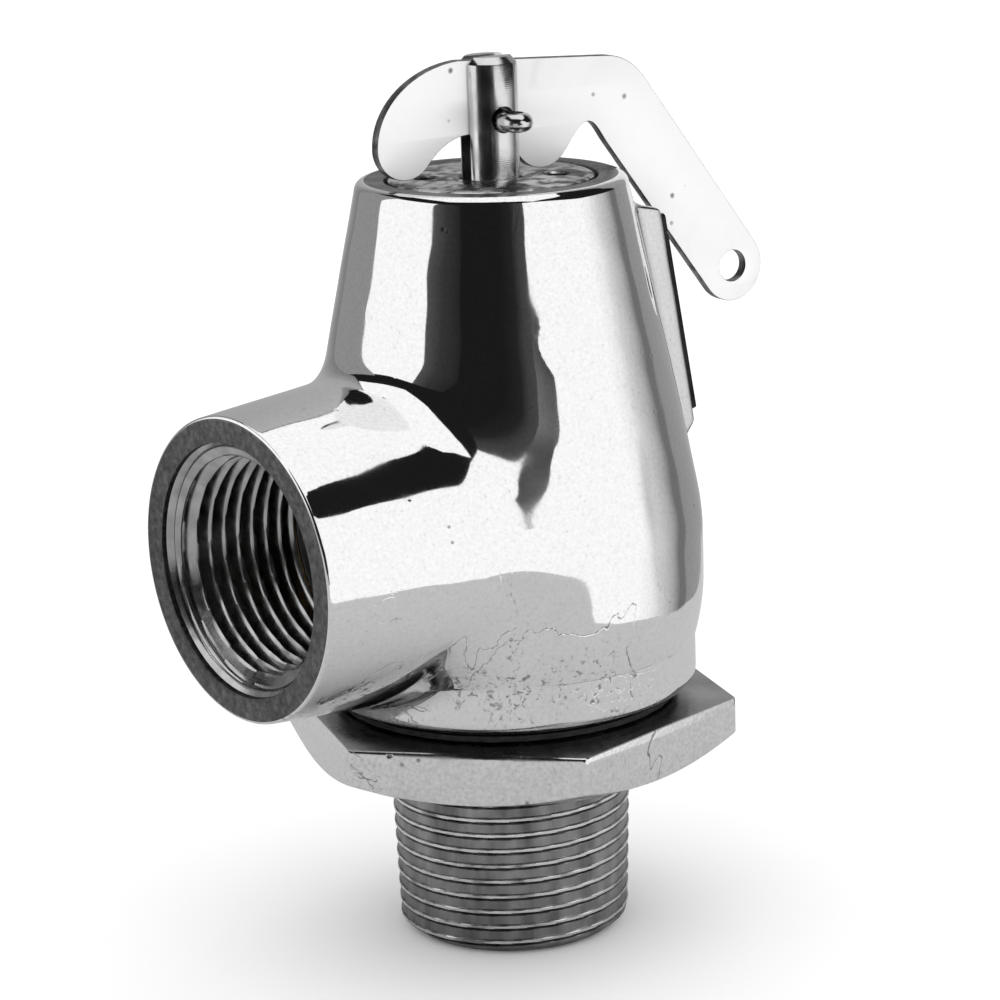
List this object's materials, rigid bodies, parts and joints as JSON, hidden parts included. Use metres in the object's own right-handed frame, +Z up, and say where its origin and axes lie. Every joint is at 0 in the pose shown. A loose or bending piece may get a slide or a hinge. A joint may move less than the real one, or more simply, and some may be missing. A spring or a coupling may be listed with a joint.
{
  "type": "pressure relief valve",
  "caption": "Spring-loaded safety relief valve with male pipe-thread inlet, female side outlet and a hand lift lever.",
  "frame": {"origin": "centre of the inlet's end face, on the spindle axis", "axes": "+Z up along the spindle axis from inlet to lever, -X out along the side outlet, +Y to the left when looking along +X"},
  "size_m": [0.0716, 0.0486, 0.0987],
  "materials": {
    "body": "polished chrome plate on a bronze casting",
    "base": "chrome plate on turned bronze, thread cut bright",
    "top_screw": "chrome plate over a speckled cast texture",
    "steel": "turned stainless steel",
    "stamped": "stamped stainless sheet, satin",
    "spring_steel": "drawn spring wire",
    "bronze": "turned bronze",
    "plate": "black anodised, blank",
    "seat": "moulded",
    "gasket": "pressed fibre"
  },
  "bodies": {
    "valve_body": {"body_casting": "body", "inlet_base": "base", "base_gasket": "gasket", "compression_screw": "top_screw", "upper_spring_washer": "steel", "disc_guide": "bronze", "spring": "spring_steel", "nameplate": "plate", "nameplate_pin_1": "steel", "nameplate_pin_2": "steel"},
    "disc": {"disc_holder": "bronze", "seat_insert": "seat", "insert_retainer": "steel", "insert_screw": "steel", "lower_spring_washer": "steel"},
    "spindle": {"spindle": "steel", "spindle_clip": "spring_steel", "cotter_pin": "steel"},
    "lever": {"lever": "stamped"}
  },
  "joints": [
    {"name": "disc_lift", "type": "slide", "parent": "valve_body", "child": "disc", "axis": [0, 0, 1], "range_m": [0, 0.003], "stiffness_N_per_m": 400, "springref_m": -0.001, "deforming": ["spring"]},
    {"name": "spindle_swivel", "type": "hinge", "parent": "disc", "child": "spindle", "pos_m": [0, 0, 0.092], "axis": [0, 0, 1], "continuous": true},
    {"name": "lever_pivot", "type": "hinge", "parent": "spindle", "child": "lever", "pos_m": [0, 0, 0.092], "axis": [-0.1392, -0.9903, 0], "range_deg": [0, 18]}
  ],
  "couplings": [
    {"joint": "lever_pivot", "follows": "disc_lift", "rad_per_m": 104.7}
  ]
}
